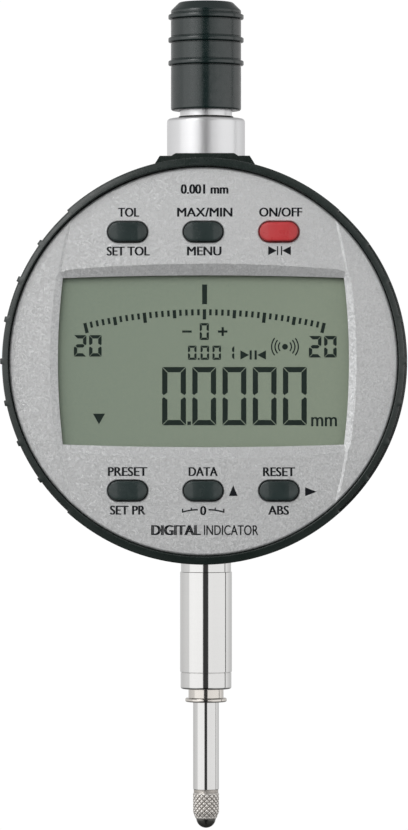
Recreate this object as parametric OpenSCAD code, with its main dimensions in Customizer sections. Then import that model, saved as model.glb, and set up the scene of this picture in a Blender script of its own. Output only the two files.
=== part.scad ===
// Digital dial indicator with a turning head, a 12.5 mm plunger and an 8 mm shank.
// The origin is the middle of the clamping shank, on the spindle's axis. +Z is up, -Y is the front.

/* [Shank and spindle] */
// Diameter of the clamping shank
shank_d = 8; // [7.9:0.1:8.1]
// Clamping length of the shank
shank_len = 15.4; // [15:0.2:16]
// Diameter of the spindle
spindle_d = 4; // [3.9:0.05:4.1]
// Measuring travel of the spindle
travel = 12.5; // [5:0.5:12.5]
// Diameter of the ball that touches the work
ball_d = 3; // [2.8:0.1:3.2]

/* [Head] */
// Height of the dial's centre above the middle of the shank
dial_z = 39.9; // [39.5:0.1:41]
// Largest diameter of the turning bezel, at its rear rim
bezel_d = 61.6; // [61.5:0.1:61.9]
// Diameter of the silver face plate
face_d = 58.5; // [58.3:0.1:58.7]
// Half of the angle through which the head turns
head_swing = 140; // [90:5:140]
// Depth of the finger recesses between the bezel's ribs
rib_depth = 0.38; // [0.2:0.02:0.5]
// Angle between two ribs
rib_pitch = 12; // [12]
// Ribs in each of the two gripping zones
rib_count = 7; // [7]

/* [Buttons] */
// Width of a button
button_w = 5.8; // [5.4:0.1:5.9]
// Height of a button
button_h = 2.85; // [2.6:0.05:2.95]
// Distance between neighbouring buttons
button_pitch = 11.4; // [11:0.1:11.8]
// Height of a button row above or below the dial's centre
button_row = 19.5; // [19:0.1:19.8]
// How far a button travels when it is pressed
button_travel = 0.5; // [0.3:0.1:0.5]

/* [Lifting cap] */
// Diameter of the lifting cap between its rings
cap_d = 10.8; // [10.4:0.1:11.2]
// Height of the lifting cap
cap_h = 16.65; // [16.65]
// Distance between two gripping rings
cap_ring_pitch = 3.55; // [3.2:0.05:3.6]

/* [Hidden] */
$fn = 96;
eps = 0.01;
big = 100;

// The dial's own frame: x to the right, y up, z towards the reader. Depths below are along that z.
head_rear = 7.2;
head_front = 15.5;
wall_front = 7.0;
wall_rear = 5.6;
housing_rear = -7.4;
cover_rear = -9.0;
boss_rear = -10.4;
plate_rear = 13.9;
plate_edge = 14.75;
plate_crown = 15.1;
bevel_front = 14.86;
lens_front = 14.25;
lens_rear = 13.65;
glass_rear = 11.8;
glass_front = 13;
board_rear = 9.9;
board_front = 10.9;
back_plate_front = 8.6;

// Radii of the round parts
bezel_r = bezel_d / 2;
bezel_front_r = bezel_r - 0.15;
seat_r = face_d / 2 + 0.2;
housing_r = 29.4;
cavity_r = 27.9;
hub_r = 11;
hub_bore_r = 8.5;
slide_gap = 0.02;
spindle_r = spindle_d / 2;
guide_r = spindle_r + slide_gap;
shank_r = shank_d / 2;
root_r = shank_r - 0.17;
well_r = 12.6;

// Heights along the spindle's axis
shank_top = shank_len / 2;
shank_low = -shank_len / 2;
shank_end = shank_low - 2.6;
flange_top = shank_end - 1.4;
flange_low = flange_top - 0.6;
spindle_low = flange_low - travel - 1;
tip_low = spindle_low - 5.9;
cap_low = 78.6;
cap_top = cap_low + cap_h;
collar_low = 68.8;
collar_top = 77.35;
tube_top = cap_top - 3.4;
spindle_top = cap_top - 3;

// Places of the fastenings, in the dial's frame
cover_screw_r = 25.6;
head_screw_r = 26.8;
board_screws = [for (x = [-15.9, 15.9], y = [-15.9, 15.9]) [x, y]];
stop_pin_r = 16;
sensor_posts = [[-21, -9], [-21, 9]];
rail_feet = [[15, -10], [15, 13]];
spring_x = 6.5;
spring_f = 1.8;
spring_low = -20;
spring_high = -2.9;
guide_pin_y = -2.05;
guide_pin_f = 0.05;
guide_pin_r = 0.75;

// ---- shapes that repeat ----

// Puts its children in the dial's frame
module dial_frame() {
  translate([0, 0, dial_z]) rotate([90, 0, 0]) children();
}

module block(low, high) {
  translate(low) cube(high - low);
}

module rod(r, z0, z1) {
  translate([0, 0, z0]) cylinder(r = r, h = z1 - z0);
}

module ring(r_in, r_out, z0, z1) {
  difference() {
    rod(r_out, z0, z1);
    rod(r_in, z0 - 1, z1 + 1);
  }
}

// A ring's sector from angle a, turning through sweep
module sector(r_in, r_out, z0, z1, a, sweep) {
  rotate([0, 0, a]) rotate_extrude(angle = sweep)
    polygon([[r_in, z0], [r_out, z0], [r_out, z1], [r_in, z1]]);
}

// A flat bar with round ends
module stadium(w, h, z0, z1) {
  translate([0, 0, z0]) linear_extrude(z1 - z0) {
    square([w - h, h], center = true);
    for (s = [-1, 1]) translate([s * (w - h) / 2, 0]) circle(d = h);
  }
}

// A screw along z with its head's rear face at z0; dir is 1 when its tip points towards +z
module screw(head_r, head_h, r, len, z0, dir) {
  translate([0, 0, z0]) rotate([dir > 0 ? 0 : 180, 0, 0]) difference() {
    union() {
      rod(head_r, 0, head_h);
      rod(r, head_h - eps, head_h + len);
    }
    block([-head_r * 0.75, -0.18, -1], [head_r * 0.75, 0.18, head_h * 0.45]);
    block([-0.18, -head_r * 0.75, -1], [0.18, head_r * 0.75, head_h * 0.45]);
  }
}

module at_each(places) {
  for (p = places) translate([p[0], p[1], 0]) children();
}

module polar_copies(r, angles) {
  for (a = angles) translate([r * cos(a), r * sin(a), 0]) children();
}

function arc(c, r, a0, a1, n = 6) =
  [for (i = [0:n]) let (a = a0 + (a1 - a0) * i / n) c + r * [cos(a), sin(a)]];

// A rectangle of half sizes hw and hh whose sides bulge out by bx and by
function barrel(hw, hh, bx, by, n = 10) = let (t = [for (i = [0:n - 1]) -1 + 2 * i / n]) concat(
  [for (s = t) [hw * s, -hh - by * (1 - s * s)]],
  [for (s = t) [hw + bx * (1 - s * s), hh * s]],
  [for (s = t) [-hw * s, hh + by * (1 - s * s)]],
  [for (s = t) [-hw - bx * (1 - s * s), -hh * s]]);

// ---- rear housing and its cover ----

// The neck's outline: a tapered block with a low raised pad, above the round wall
neck_top = 31.4;
pad_top = 31.8;
neck_half = [[6.4, 25.4], [6.4, 27], [8.4, 27.7], [8.2, 29.2], [7.54, 30.3], [6.86, neck_top],
             [5.1, neck_top], [4.45, pad_top]];
neck_f = 6.9;

module neck_block() {
  mirrored = [for (i = [len(neck_half) - 1:-1:0]) [-neck_half[i][0], neck_half[i][1]]];
  translate([0, 0, -neck_f]) linear_extrude(2 * neck_f) polygon(concat(neck_half, mirrored));
}

module foot_block() {
  intersection() {
    block([-6.2, -housing_r, -6.2], [6.2, -25, 6.2]);
    rod(housing_r, -neck_f, neck_f);
  }
}

module housing_shell() {
  rotate_extrude() polygon([
    [hub_bore_r, wall_rear], [cavity_r, wall_rear], [cavity_r, housing_rear],
    [housing_r, housing_rear], [housing_r, wall_front - 0.6], [housing_r - 0.6, wall_front],
    [hub_r, wall_front], [hub_r, 9.3], [hub_r - 0.3, 9.6], [hub_bore_r, 9.6]]);
}

module port_shape(hy, f0, f1) {
  block([25, -hy, f0], [32, hy, f1]);
}

module rear_housing() {
  color("#26292a") difference() {
    dial_frame() difference() {
      union() {
        housing_shell();
        neck_block();
        foot_block();
        polar_copies(cover_screw_r, [45:90:315]) rod(2.4, housing_rear, wall_rear + eps);
        at_each(sensor_posts) rod(1.8, 4.2, wall_rear + eps);
      }
      polar_copies(cover_screw_r, [45:90:315]) rod(0.8, housing_rear - 1, 0);
      at_each(sensor_posts) rod(0.7, 4, 6.4);
      at_each(rail_feet) rod(0.8, 5, 6.6);
      ring(28.35, 28.95, housing_rear - 1, housing_rear + 0.45);
      ring(24.05, 25.15, 6.2, 8);
      ring(hub_r - 0.6, hub_r + 1, 8.75, 9.25);
      translate([0, stop_pin_r, 0]) rod(1, 5.9, 8);
      translate([spring_x, spring_low, 0]) rod(0.6, 5, 6.4);
      translate([0, 27.2, 0]) rod(0.8, -neck_f - 1, -4);
      port_shape(4.4, -2.3, 1.9);
    }
    rod(4.9, dial_z + 20, collar_low + eps);
    rod(6, collar_low, big);
    rod(root_r, 0, 20);
  }
}

module back_cover() {
  notch_sweep = 26;
  color("#2b2e2f") dial_frame() difference() {
    union() {
      rotate_extrude() polygon([[0, cover_rear], [housing_r - 0.7, cover_rear],
        [housing_r, cover_rear + 0.7], [housing_r, housing_rear], [0, housing_rear]]);
      rotate_extrude() polygon([[0, boss_rear], [15.8, boss_rear], [16.2, boss_rear + 0.4],
        [16.2, cover_rear + eps], [0, cover_rear + eps]]);
      rod(13.75, housing_rear - eps, -2.6);
    }
    rotate_extrude() polygon([[0, -11], [13.55, -11], [13.55, -9.4], [12.75, -9.4],
      [12.75, -9.1], [13.5, -9.1], [13.5, -8.4], [well_r, -8.4], [well_r, -3.2], [0, -3.2]]);
    for (a = [0, 120, 240]) sector(12, 13.4, -9.6, -8.9, a - notch_sweep / 2, notch_sweep);
    polar_copies(cover_screw_r, [45:90:315]) {
      rod(1.05, -big, big);
      rod(2.05, -big, cover_rear + 0.9);
    }
  }
}

module cover_gasket() {
  color("#111111") dial_frame() ring(28.37, 28.93, housing_rear, housing_rear + 0.43);
}

module cover_screws() {
  color("#8d9093") dial_frame() polar_copies(cover_screw_r, [45:90:315])
    screw(1.95, 0.8, 0.8, 6, cover_rear + 0.1, 1);
}

module battery_lid() {
  lug_sweep = 20;
  color("#303334") dial_frame() difference() {
    union() {
      rotate_extrude() polygon([[0, boss_rear], [13.1, boss_rear], [13.4, boss_rear + 0.3],
        [13.4, -9.42], [0, -9.42]]);
      rod(12.5, -9.42 - eps, -8.5);
      for (a = [0, 120, 240])
        sector(12.3, 13.3, -9.02, -8.5, a + 35 - lug_sweep / 2, lug_sweep);
    }
    stadium(17, 1.8, -big, boss_rear + 0.75);
    ring(12.72, 13.25, -9.7, -9.4);
  }
}

module lid_seal() {
  color("#151515") dial_frame() ring(12.76, 13.2, -9.68, -9.41);
}

module battery() {
  color("#c9ccce") dial_frame() rotate_extrude() polygon([[0, -8.4], [11.9, -8.4],
    [12.25, -8.05], [12.25, -4.5], [11.9, -4.2], [11.1, -4.2], [10.8, -3.4], [0, -3.4]]);
}

module battery_contacts() {
  color("#d6c27a") dial_frame() {
    block([-6, -2, -3.4], [6, 2, -3.2]);
    sector(12.27, 12.57, -8, -5, -12, 24);
  }
}

module data_socket() {
  color("#1b1c1d") dial_frame() difference() {
    block([20.5, -4.2, -2.2], [27.6, 4.2, 1.8]);
    block([22, -3.6, -1.6], [28, 3.6, 1.2]);
  }
}

module port_plug() {
  color("#202223") dial_frame() union() {
    intersection() {
      port_shape(4.35, -2.25, 1.85);
      ring(28, housing_r + eps, -5, 5);
    }
    intersection() {
      port_shape(5.1, -3, 2.6);
      ring(housing_r, housing_r + 0.5, -5, 5);
    }
  }
}

// ---- shank, guides and collar, all round the spindle's axis ----

module shank() {
  root_top = 17.6;
  color("#d4d2cf") rotate_extrude() polygon([
    [spindle_r + 0.7, shank_end], [root_r - 0.3, shank_end], [root_r, shank_end + 0.3],
    [root_r, shank_low - 0.08], [root_r - 0.12, shank_low - 0.08],
    [root_r - 0.12, shank_low], [shank_r, shank_low],
    [shank_r, shank_top], [root_r, shank_top], [root_r, root_top], [spindle_r + 1, root_top],
    [spindle_r + 1, shank_low + 1.2], [spindle_r + 0.7, shank_low + 1.2]]);
}

module shank_nut() {
  color("#b9b9b6") difference() {
    translate([0, 0, 15]) cylinder(d = 11.4, h = 2.2, $fn = 6);
    rod(root_r, 10, 20);
  }
}

module lower_bush() {
  color("#b58a4a") ring(guide_r, spindle_r + 1, shank_low + 1.2, shank_low + 11.2);
}

module wiper_sleeve() {
  color("#d9d4c8") rotate_extrude() polygon([
    [spindle_r + 0.1, flange_low], [3, flange_low], [3.2, flange_low + 0.15],
    [3.2, flange_top - 0.15], [3, flange_top], [spindle_r + 0.7, flange_top],
    [spindle_r + 0.7, shank_low + 0.7], [spindle_r + 0.1, shank_low + 0.7],
    [spindle_r + 0.1, flange_top + 1], [spindle_r + 0.4, flange_top + 1],
    [spindle_r + 0.4, flange_top + 0.2], [spindle_r + 0.1, flange_top + 0.2]]);
}

module wiper_seal() {
  color("#141414") ring(guide_r, spindle_r + 0.38, flange_top + 0.22, flange_top + 0.98);
}

module stop_buffer() {
  color("#161616") ring(spindle_r + 0.15, 3.5, 17.6, 18.4);
}

module upper_collar() {
  color("#cfd0d1") rotate_extrude() polygon([
    [4, 65.6], [4.9, 65.6], [4.9, collar_low], [6, collar_low], [6, collar_top - 0.45],
    [5.55, collar_top], [4, collar_top]]);
}

module collar_screw() {
  color("#3a3a3a") dial_frame() translate([0, 27.2, 0]) difference() {
    rod(0.78, -6.7, -4.92);
    block([-0.6, -0.15, -7], [0.6, 0.15, -6.3]);
  }
}

module guide_tube() {
  color("#d8d8d8") rotate_extrude() polygon([
    [spindle_r + 0.6, 65], [4, 65], [4, tube_top - 0.3], [3.7, tube_top],
    [spindle_r + 0.6, tube_top]]);
}

module upper_bush() {
  color("#b58a4a") ring(guide_r, spindle_r + 0.6, 79, 90);
}

module collar_seal() {
  color("#101010") ring(4, 4.2, collar_top, collar_top + 0.35);
}

// ---- what moves with the spindle ----

module spindle() {
  color("#dcdcda") difference() {
    union() {
      rod(spindle_r, spindle_low, spindle_top);
      rod(1.25, spindle_top - eps, spindle_top + 1.6);
    }
    rod(1.05, spindle_low - 1, spindle_low + 5.5);
  }
}

module contact_point() {
  neck_r = spindle_r - 0.15;
  knurl_top = spindle_low - 0.5;
  nose = tip_low + 1.15;
  color("#b9b6ae") difference() {
    rotate_extrude() polygon(concat(
      [[0, spindle_low + 5], [1.05, spindle_low + 5], [1.05, spindle_low],
       [neck_r, spindle_low], [neck_r, knurl_top + 0.15], [spindle_r, knurl_top]],
      [for (p = arc([0.85, nose + 0.85], 1.15, 0, -78, 8)) [p[0], p[1]]],
      [[0, nose - 0.3]]));
    translate([0, 0, tip_low + ball_d / 2]) sphere(d = ball_d);
  }
}

module contact_ball() {
  color("#3c3c3a") translate([0, 0, tip_low + ball_d / 2]) sphere(d = ball_d);
}

module guide_arm() {
  color("#b4b6b8") dial_frame() difference() {
    union() {
      block([-3.6, -5, -2.3], [3.6, 1, 4]);
      block([-12.2, -3.6, -0.8], [10.4, -0.5, 0.9]);
      translate([spring_x, spring_high, 0]) rod(0.6, 0.8, 2.6);
    }
    rotate([90, 0, 0]) rod(spindle_r, -big, big);
    block([-0.3, -6, 1], [0.3, 2, 5]);
    translate([0, guide_pin_y, 3]) rotate([0, 90, 0]) rod(0.75, -big, big);
    translate([0, guide_pin_y, guide_pin_f]) rotate([0, 90, 0]) rod(guide_pin_r, 8, big);
  }
}

module arm_screw() {
  color("#8d9093") dial_frame() translate([0, guide_pin_y, 3]) rotate([0, 90, 0]) difference() {
    union() {
      rod(0.75, -3.6, 3.7);
      rod(1.25, 3.6, 4.6);
    }
    block([-2, -0.15, 4.2], [2, 0.15, 5]);
  }
}

module guide_pin() {
  color("#c8c8c8") dial_frame() translate([0, guide_pin_y, guide_pin_f]) rotate([0, 90, 0])
    rod(guide_pin_r, 8, 13.9);
}

module measuring_scale() {
  color("#9fb6bf") dial_frame() block([-12.2, -13, 0.9], [-8.2, 11, 1.9]);
}

module stop_collar() {
  color("#a9abad") intersection() {
    ring(spindle_r, 3.4, 18.4, 19.8);
    block([-4, -4, 18], [4, 2.4, 20]);
  }
}

// One gripping ring of the cap, bottom to top, as points of its outline
function cap_ring(c) = let (r = cap_d / 2) [[r, c - 0.58], [r + 0.3, c - 0.42], [r + 0.4, c - 0.2],
                                            [r + 0.4, c + 0.2], [r + 0.3, c + 0.42], [r, c + 0.58]];

module lift_cap() {
  r = cap_d / 2;
  top_ring = cap_top - 2.25;
  inner_top = cap_top - 2.6;
  color("#2c3030") rotate_extrude() polygon(concat(
    [[4.1, cap_low]],
    arc([r - 0.35, cap_low + 0.35], 0.35, -90, 0, 4),
    cap_ring(top_ring - 2 * cap_ring_pitch),
    cap_ring(top_ring - cap_ring_pitch),
    cap_ring(top_ring),
    [[r, cap_top - 1.35], [r - 0.1, cap_top - 1.15], [r - 1.15, cap_top - 0.1], [r - 1.4, cap_top]],
    [[0, cap_top], [0, cap_top - 1], [2.4, cap_top - 1], [2.4, inner_top], [4.1, inner_top]]));
}

module cap_insert() {
  color("#b58a4a") difference() {
    rod(2.4, spindle_top, cap_top - 1);
    rod(1.25, spindle_top - 1, spindle_top + 1.6);
  }
}

// ---- guide rail, sensor, spring and cable in the housing ----

module guide_rail() {
  slot_r = guide_pin_r + 0.05;
  slot_low = guide_pin_y - guide_pin_r - 0.35;
  slot_high = guide_pin_y + travel + guide_pin_r + 0.35;
  color("#a9abad") dial_frame() difference() {
    union() {
      block([11.3, -12, -2.2], [13.3, 15, wall_rear]);
      for (p = rail_feet) block([13.2, p[1] - 2, 4.2], [16.8, p[1] + 2, wall_rear]);
    }
    block([10, slot_low, guide_pin_f - slot_r], [15, slot_high, guide_pin_f + slot_r]);
    at_each(rail_feet) rod(0.85, 0, 10);
  }
}

module rail_screws() {
  color("#8d9093") dial_frame() at_each(rail_feet) screw(1.4, 0.9, 0.78, 2.3, 3.3, 1);
}

module sensor_board() {
  color("#2f6b45") dial_frame() difference() {
    block([-24, -12, 3.2], [-5.5, 12, 4.2]);
    at_each(sensor_posts) rod(0.85, 2, 6);
  }
}

module reader_chip() {
  color("#1e1f22") dial_frame() {
    block([-12.2, -4, 2.15], [-8.2, 4, 3.2]);
    block([-20, -4, 2.2], [-15, 1, 3.2]);
    block([-19, 4, 2.4], [-15.5, 6.5, 3.2]);
  }
}

module sensor_screws() {
  color("#8d9093") dial_frame() at_each(sensor_posts) screw(1.3, 0.8, 0.68, 3.1, 2.4, 1);
}

// Points of a flat spiral that ends at angle 180, shifted off along its radius
function spiral(r0, r1, turns, off, n = 60) = [for (i = [0:n])
  let (a = 180 - turns * 360 * (1 - i / n), r = r0 + (r1 - r0) * i / n + off) [r * cos(a), r * sin(a)]];

module flex_cable() {
  thick = 0.25;
  inner = spiral(2.6, 7.6, 2.5, -thick / 2);
  outer = spiral(2.6, 7.6, 2.5, thick / 2);
  back = [for (i = [len(inner) - 1:-1:0]) inner[i]];
  color("#c8862d") dial_frame() {
    translate([0, 0, 6.2]) linear_extrude(2.4) polygon(concat(outer, back));
    block([-7.725, -3, 4.2], [-7.475, 0, 8.6]);
  }
}

module spring_pin() {
  color("#c8c8c8") dial_frame() translate([spring_x, spring_low, 0]) rod(0.6, 1.2, 6.4);
}

module stop_pin() {
  color("#c8c8c8") dial_frame() translate([0, stop_pin_r, 0]) rod(1, 5.9, 8.1);
}

module retaining_ring() {
  color("#9a9c9e") dial_frame() sector(hub_r - 0.55, 12.4, 8.8, 9.2, 105, 330);
}

module friction_ring() {
  color("#121212") dial_frame() ring(24.1, 25.1, 6.22, 7.19);
}

// The spring's centreline: each entry is a point and the direction its wire's section leans on
function spring_path(y0, y1, loop_r, coil_r, turns) = let (
    lead = 0.5,
    hook = [for (i = [0:11]) -264 + 24 * i],
    steps = turns * 14,
    rise = y1 - y0 - 2 * lead)
  concat(
    [for (a = hook) [[loop_r * sin(a), y0 - loop_r + loop_r * cos(a), 0], [sin(a), cos(a), 0]]],
    [for (i = [1:7]) let (s = i / 7, a = 180 * s, r = coil_r * sin(90 * s))
      [[r * cos(a), y0 + lead * s, r * sin(a)], [0, 1, 0]]],
    [for (i = [1:steps]) let (a = 180 + 360 * turns * i / steps)
      [[coil_r * cos(a), y0 + lead + rise * i / steps, coil_r * sin(a)], [0, 1, 0]]],
    [for (i = [1:7]) let (s = i / 7, a = 180 + 180 * s, r = coil_r * cos(90 * s))
      [[r * cos(a), y1 - lead + lead * s, r * sin(a)], [0, 1, 0]]],
    [for (i = [1:11]) let (a = 24 * i)
      [[-loop_r * sin(a), y1 + loop_r - loop_r * cos(a), 0], [sin(a), cos(a), 0]]]);

function unit(v) = v / norm(v);

// A closed tube of round section along a path of points and leaning directions
module wire(path, r, sides = 6) {
  n = len(path);
  rings = [for (i = [0:n - 1]) let (
      t = unit(path[min(i + 1, n - 1)][0] - path[max(i - 1, 0)][0]),
      u = unit(path[i][1] - (path[i][1] * t) * t),
      v = cross(t, u))
    [for (k = [0:sides - 1]) path[i][0] + r * (cos(360 * k / sides) * u + sin(360 * k / sides) * v)]];
  polyhedron(
    points = [for (q = rings) each q],
    faces = concat(
      [[for (k = [0:sides - 1]) k]],
      [[for (k = [sides - 1:-1:0]) (n - 1) * sides + k]],
      [for (i = [0:n - 2], k = [0:sides - 1]) let (a = i * sides, b = (k + 1) % sides)
        [a + k, a + sides + k, a + sides + b, a + b]]),
    convexity = 10);
}

module measuring_spring() {
  loop_r = 0.9;
  color("#bfc2c4") dial_frame() translate([spring_x, 0, spring_f])
    wire(spring_path(spring_low + loop_r, spring_high - loop_r, loop_r, 1.35, 16), 0.18);
}

// ---- turning head ----

module bezel() {
  zone = (rib_count + 1) * rib_pitch / 2;
  rib_half = 0.75;
  rim_front = 8.9;
  color("#33383a") dial_frame() difference() {
    union() {
      difference() {
        rotate_extrude() polygon(concat(
          [[29.6, head_rear], [bezel_r - 0.3, head_rear], [bezel_r, head_rear + 0.3],
           [bezel_r, rim_front]],
          arc([bezel_front_r - 0.5, head_front - 0.5], 0.5, 0, 90, 5),
          [[seat_r + 0.45, head_front], [seat_r, head_front - 0.45], [seat_r, plate_rear], [28, plate_rear],
           [28, 12.6], [29.2, 12.6], [29.2, back_plate_front], [29.6, back_plate_front]]));
        for (side = [0, 180], i = [0:rib_count]) {
          a0 = -zone + i * rib_pitch + (i == 0 ? 0 : rib_half);
          a1 = -zone + (i + 1) * rib_pitch - (i == rib_count ? 0 : rib_half);
          sector(bezel_r - 0.14 - rib_depth, 40, rim_front + 0.2, 20, side + a0, a1 - a0);
        }
      }
      intersection() {
        polar_copies(head_screw_r, [0:90:270]) rod(1.9, back_plate_front, plate_rear);
        rod(29.3, 8, 14);
      }
    }
    polar_copies(head_screw_r, [0:90:270]) rod(0.8, 8, 12);
  }
}

// The plate's crowned front, as a solid of revolution down to depth z0, lowered by drop
module crowned(z0, drop) {
  r = face_d / 2;
  rise = plate_crown - plate_edge;
  rotate_extrude() polygon(concat([[0, z0], [r, z0]],
    [for (i = [0:12]) let (x = r * (1 - i / 12)) [x, plate_crown - drop - rise * pow(x / r, 2)]]));
}

window_inner = barrel(21.2, 12.55, 0.75, 0.4);
window_outer = barrel(22.05, 13.65, 1.05, 1.05);

module button_places() {
  for (row = [1, -1], col = [-1, 0, 1]) translate([col * button_pitch, row * button_row, 0]) children();
}

module face_plate() {
  r = face_d / 2;
  band_r = 85;
  band_x = 22.9;
  band_drop = 0.18;
  color("#b9bbbc") dial_frame() difference() {
    crowned(plate_rear, 0);
    difference() {
      translate([0, 0, plate_rear + 0.3]) linear_extrude(3) intersection() {
        for (s = [-1, 1]) translate([s * (band_r - band_x), 0]) circle(r = band_r, $fn = 240);
      }
      crowned(plate_rear - 1, band_drop);
    }
    hull() {
      translate([0, 0, lens_front]) linear_extrude(eps) polygon(window_inner);
      translate([0, 0, bevel_front]) linear_extrude(eps) polygon(window_outer);
    }
    translate([0, 0, bevel_front]) linear_extrude(1) polygon(window_outer);
    translate([0, 0, plate_rear - 1]) linear_extrude(2) polygon(window_inner);
    block([-23.4, -14.5, plate_rear - 1], [23.4, 14.5, lens_front]);
    button_places() stadium(button_w + 0.35, button_h + 0.35, plate_rear - 1, 20);
  }
}

module window_lens() {
  color("#dfe8e4", 0.35) dial_frame() block([-23.3, -14.4, lens_rear], [23.3, 14.4, lens_front]);
}

module lcd_panel() {
  color("#8a9582") dial_frame() block([-22.9, -14, glass_rear], [22.9, 14, glass_front]);
}

module lcd_frame() {
  color("#e4e4df") dial_frame() difference() {
    block([-23.6, -14.55, board_front], [23.6, 14.55, lens_rear - 0.05]);
    block([-22.95, -14.05, glass_rear], [22.95, 14.05, 14]);
    block([-21.5, -12.4, 10], [21.5, 12.4, 14]);
    for (s = [-1, 1]) block([-20.6, s * 13.2 - 0.65, 10], [20.6, s * 13.2 + 0.65, 14]);
  }
}

module zebra_strips() {
  color("#5c5f63") dial_frame() for (s = [-1, 1])
    block([-20.4, s * 13.2 - 0.55, board_front], [20.4, s * 13.2 + 0.55, glass_rear]);
}

module main_board() {
  color("#2f6b45") dial_frame() difference() {
    rod(24.6, board_rear, board_front);
    at_each(board_screws) rod(0.85, 9, 12);
  }
}

module board_chips() {
  color("#1e1f22") dial_frame() {
    block([-21, -3.5, 8.9], [-14, 3.5, board_rear]);
    block([14, -4, 8.8], [22.5, 4, board_rear]);
    block([-4, -22, 8.9], [1, -17.5, board_rear]);
    rod(1.8, 7.2, board_rear);
  }
}

module tact_switches() {
  color("#c2c4c5") dial_frame() button_places() {
    block([-2.3, -2.3, board_front], [2.3, 2.3, 12]);
    rod(0.9, 11.9, 12.1);
  }
}

module keypad_mats() {
  color("#8f9194") dial_frame() difference() {
    for (s = [-1, 1]) block([-15.4, s * button_row - 2.7, 12], [15.4, s * button_row + 2.7, 12.45]);
    button_places() rod(1.7, 11, 13);
  }
}

// One button: crowned cap, flange behind the plate and a stem that meets its switch
module button_at(col, row) {
  crown_r = 9;
  stem_end = 12.1 + button_travel + 0.02;
  dial_frame() translate([col * button_pitch, row * button_row, 0]) {
    intersection() {
      stadium(button_w, button_h, 13.2, 16);
      translate([0, 0, 15.6 - crown_r]) rotate([90, 0, 0]) rod(crown_r, -5, 5);
    }
    stadium(7.2, 4.2, 13.1, plate_rear - 0.1);
    rod(1.2, stem_end, 13.2);
  }
}

module button_mode() { color("#3a4141") button_at(-1, 1); }
module button_hold() { color("#3a4141") button_at(0, 1); }
module button_power() { color("#c2474b") button_at(1, 1); }
module button_set() { color("#3a4141") button_at(-1, -1); }
module button_data() { color("#3a4141") button_at(0, -1); }
module button_zero() { color("#3a4141") button_at(1, -1); }

module head_back() {
  groove = 1.1;
  color("#2a2d2e") dial_frame() difference() {
    union() {
      rod(29.55, head_rear, back_plate_front);
      at_each(board_screws) rod(1.6, back_plate_front - eps, board_rear);
    }
    rod(hub_r + 0.05, 0, 20);
    sector(stop_pin_r - groove, stop_pin_r + groove, 6, 8.2, 90 - head_swing, 2 * head_swing);
    polar_copies(stop_pin_r, [90 - head_swing, 90 + head_swing]) rod(groove, 6, 8.2);
    polar_copies(head_screw_r, [0:90:270]) {
      rod(0.85, 6, 10);
      rod(1.55, 6, 7.9);
    }
    at_each(board_screws) rod(0.7, 8, 12);
  }
}

module head_screws() {
  color("#8d9093") dial_frame() {
    polar_copies(head_screw_r, [0:90:270]) screw(1.5, 0.65, 0.78, 3.6, 7.25, 1);
    at_each(board_screws) screw(1.3, 0.7, 0.68, 2.2, board_front + 0.7, -1);
  }
}

rear_housing();
back_cover();
cover_gasket();
cover_screws();
shank();
shank_nut();
lower_bush();
wiper_sleeve();
wiper_seal();
stop_buffer();
upper_collar();
collar_screw();
guide_tube();
upper_bush();
collar_seal();
guide_rail();
rail_screws();
sensor_board();
reader_chip();
sensor_screws();
flex_cable();
battery();
battery_contacts();
stop_pin();
retaining_ring();
friction_ring();
data_socket();
port_plug();
spring_pin();
measuring_spring();
battery_lid();
lid_seal();
spindle();
contact_point();
contact_ball();
guide_arm();
arm_screw();
guide_pin();
measuring_scale();
stop_collar();
lift_cap();
cap_insert();
bezel();
face_plate();
window_lens();
lcd_panel();
lcd_frame();
zebra_strips();
main_board();
board_chips();
tact_switches();
keypad_mats();
head_back();
head_screws();
button_mode();
button_hold();
button_power();
button_set();
button_data();
button_zero();
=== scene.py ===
import math

import bmesh
import bpy
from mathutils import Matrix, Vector
from mathutils.geometry import delaunay_2d_cdt


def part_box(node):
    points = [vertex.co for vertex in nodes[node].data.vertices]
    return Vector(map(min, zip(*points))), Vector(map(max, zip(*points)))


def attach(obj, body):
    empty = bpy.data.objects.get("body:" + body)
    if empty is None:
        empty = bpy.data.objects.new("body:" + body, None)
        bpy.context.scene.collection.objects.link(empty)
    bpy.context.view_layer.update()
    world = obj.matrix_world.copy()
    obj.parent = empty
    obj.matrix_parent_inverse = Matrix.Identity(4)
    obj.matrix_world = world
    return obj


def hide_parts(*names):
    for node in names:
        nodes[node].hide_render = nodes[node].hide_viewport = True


# Lengths below are in millimetres until put_mesh() turns them into metres.
# The dial's own frame: x to the reader's right, y up, depth towards the reader.
MM = 0.001

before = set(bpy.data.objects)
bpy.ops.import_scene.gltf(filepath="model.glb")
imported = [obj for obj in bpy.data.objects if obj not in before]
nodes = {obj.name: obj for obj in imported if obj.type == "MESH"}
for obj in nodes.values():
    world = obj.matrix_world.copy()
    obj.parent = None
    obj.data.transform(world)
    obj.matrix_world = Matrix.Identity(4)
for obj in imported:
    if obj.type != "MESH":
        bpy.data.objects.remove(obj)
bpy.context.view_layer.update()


# ---- sizes that come from the frame ----

def span(node):
    """A CAD node's lowest and highest corner, in millimetres."""
    low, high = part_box(node)
    return low / MM, high / MM


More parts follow.
